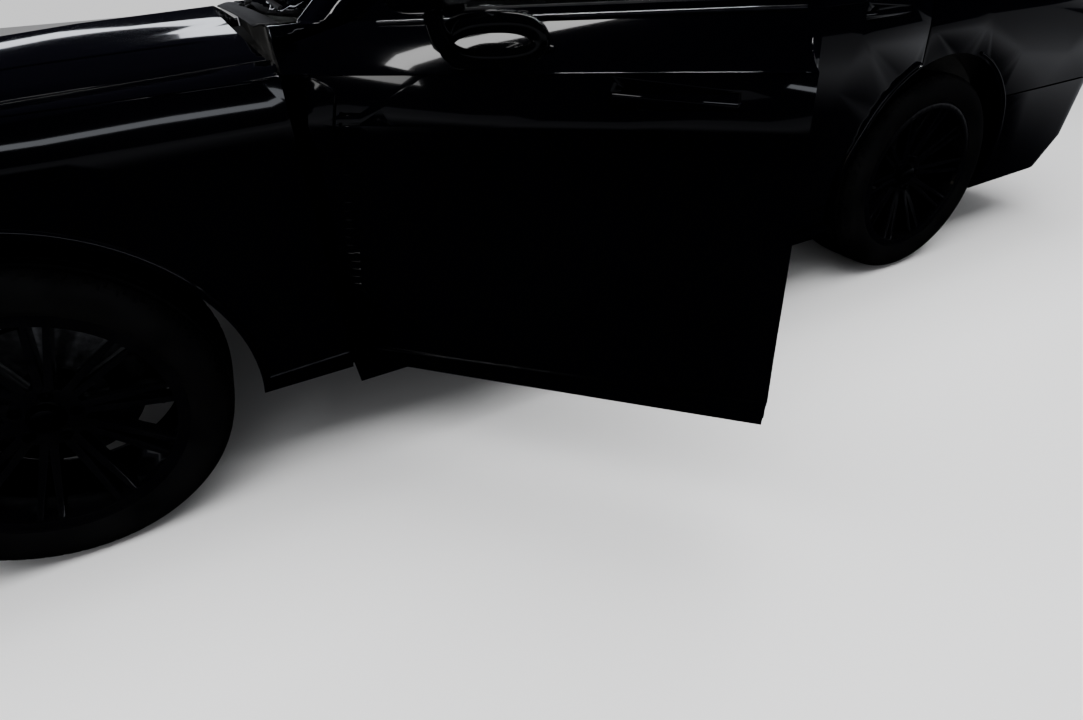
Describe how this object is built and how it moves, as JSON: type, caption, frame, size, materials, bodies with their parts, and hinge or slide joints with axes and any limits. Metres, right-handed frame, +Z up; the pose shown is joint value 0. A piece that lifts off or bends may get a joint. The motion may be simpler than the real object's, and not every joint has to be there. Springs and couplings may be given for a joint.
{
  "type": "sport utility vehicle",
  "caption": "Large gloss black luxury family car with a clamshell bonnet, split tailgate, multi-spoke wheels and cream leather seats, its driver's door open.",
  "frame": {"origin": "middle of the base of the box around the car with the front left door open; the car's own centre plane lies at Y = -0.304 m and its front axle at X = 1.610 m", "axes": "+X forward along the car, +Y to its left, +Z up"},
  "size_m": [4.9988, 2.8135, 1.8318],
  "materials": {
    "paint": "gloss black",
    "underbody": "satin black",
    "tinted_glass": "tinted",
    "grille_black": "gloss",
    "lamp_clear": "clear",
    "lamp_red": "smoked red",
    "engine_metal": "cast",
    "running_gear": "satin",
    "dark_trim": "grained",
    "cream_leather": "grained",
    "tyre_rubber": "matte",
    "wheel_black": "gloss"
  },
  "bodies": {
    "body": {"floor": "underbody", "front_structure": "underbody", "rear_wheel_boxes": "underbody", "side_frame_left": "paint", "side_frame_right": "paint", "roof": "paint", "fixed_glass": "tinted_glass", "front_wings": "paint", "front_bumper": "paint", "grille": "grille_black", "headlamps": "lamp_clear", "rear_bumper": "paint", "tail_lamps": "lamp_red", "engine": "engine_metal", "front_suspension": "running_gear", "rear_suspension": "running_gear", "driveline": "running_gear", "dashboard": "dark_trim", "front_seats": "cream_leather", "rear_seat": "cream_leather"},
    "bonnet": {"bonnet": "paint"},
    "upper_tailgate": {"upper_tailgate": "paint", "rear_glass": "tinted_glass"},
    "lower_tailgate": {"lower_tailgate": "paint"},
    "steering_wheel": {"steering_wheel": "dark_trim"},
    "door_front_left": {"door_front_left": "paint", "glass_front_left": "tinted_glass", "mirror_left": "paint"},
    "door_rear_left": {"door_rear_left": "paint", "glass_rear_left": "tinted_glass"},
    "knuckle_left": {"knuckle_left": "running_gear"},
    "wheel_front_left": {"tyre_front_left": "tyre_rubber", "rim_front_left": "wheel_black"},
    "wheel_rear_left": {"tyre_rear_left": "tyre_rubber", "rim_rear_left": "wheel_black"},
    "door_front_right": {"door_front_right": "paint", "glass_front_right": "tinted_glass", "mirror_right": "paint"},
    "door_rear_right": {"door_rear_right": "paint", "glass_rear_right": "tinted_glass"},
    "knuckle_right": {"knuckle_right": "running_gear"},
    "wheel_front_right": {"tyre_front_right": "tyre_rubber", "rim_front_right": "wheel_black"},
    "wheel_rear_right": {"tyre_rear_right": "tyre_rubber", "rim_rear_right": "wheel_black"}
  },
  "joints": [
    {"name": "steer_left", "type": "hinge", "parent": "body", "child": "knuckle_left", "pos_m": [1.61, 0.451, 0.39], "axis": [0, 0, 1], "range_deg": [-35, 35]},
    {"name": "wheel_front_left_spin", "type": "hinge", "parent": "knuckle_left", "child": "wheel_front_left", "pos_m": [1.61, 0.539, 0.39], "axis": [0, 1, 0], "continuous": true},
    {"name": "wheel_rear_left_spin", "type": "hinge", "parent": "body", "child": "wheel_rear_left", "pos_m": [-1.312, 0.539, 0.39], "axis": [0, 1, 0], "continuous": true},
    {"name": "steer_right", "type": "hinge", "parent": "body", "child": "knuckle_right", "pos_m": [1.61, -1.059, 0.39], "axis": [0, 0, 1], "range_deg": [-35, 35]},
    {"name": "wheel_front_right_spin", "type": "hinge", "parent": "knuckle_right", "child": "wheel_front_right", "pos_m": [1.61, -1.147, 0.39], "axis": [0, 1, 0], "continuous": true},
    {"name": "wheel_rear_right_spin", "type": "hinge", "parent": "body", "child": "wheel_rear_right", "pos_m": [-1.312, -1.147, 0.39], "axis": [0, 1, 0], "continuous": true},
    {"name": "steering_wheel_turn", "type": "hinge", "parent": "body", "child": "steering_wheel", "pos_m": [0.342, 0.091, 0.985], "axis": [-0.9063, 0, 0.4226], "range_deg": [-490, 490]},
    {"name": "door_front_left_hinge", "type": "hinge", "parent": "body", "child": "door_front_left", "pos_m": [0.877, 0.646, 0.7], "axis": [0, 0, -1], "range_deg": [-45, 22]},
    {"name": "door_front_right_hinge", "type": "hinge", "parent": "body", "child": "door_front_right", "pos_m": [0.877, -1.254, 0.7], "axis": [0, 0, 1], "range_deg": [0, 67]},
    {"name": "door_rear_left_hinge", "type": "hinge", "parent": "body", "child": "door_rear_left", "pos_m": [-0.193, 0.646, 0.7], "axis": [0, 0, -1], "range_deg": [0, 67]},
    {"name": "door_rear_right_hinge", "type": "hinge", "parent": "body", "child": "door_rear_right", "pos_m": [-0.193, -1.254, 0.7], "axis": [0, 0, 1], "range_deg": [0, 67]},
    {"name": "bonnet_hinge", "type": "hinge", "parent": "body", "child": "bonnet", "pos_m": [0.934, -0.304, 1.172], "axis": [0, -1, 0], "range_deg": [0, 50]},
    {"name": "upper_tailgate_hinge", "type": "hinge", "parent": "body", "child": "upper_tailgate", "pos_m": [-2.08, -0.304, 1.743], "axis": [0, 1, 0], "range_deg": [0, 80]},
    {"name": "lower_tailgate_hinge", "type": "hinge", "parent": "body", "child": "lower_tailgate", "pos_m": [-2.502, -0.304, 0.648], "axis": [0, -1, 0], "range_deg": [0, 90]}
  ],
  "couplings": [
    {"joint": "steer_right", "follows": "steer_left", "ratio": 1},
    {"joint": "steering_wheel_turn", "follows": "steer_left", "ratio": 14}
  ]
}
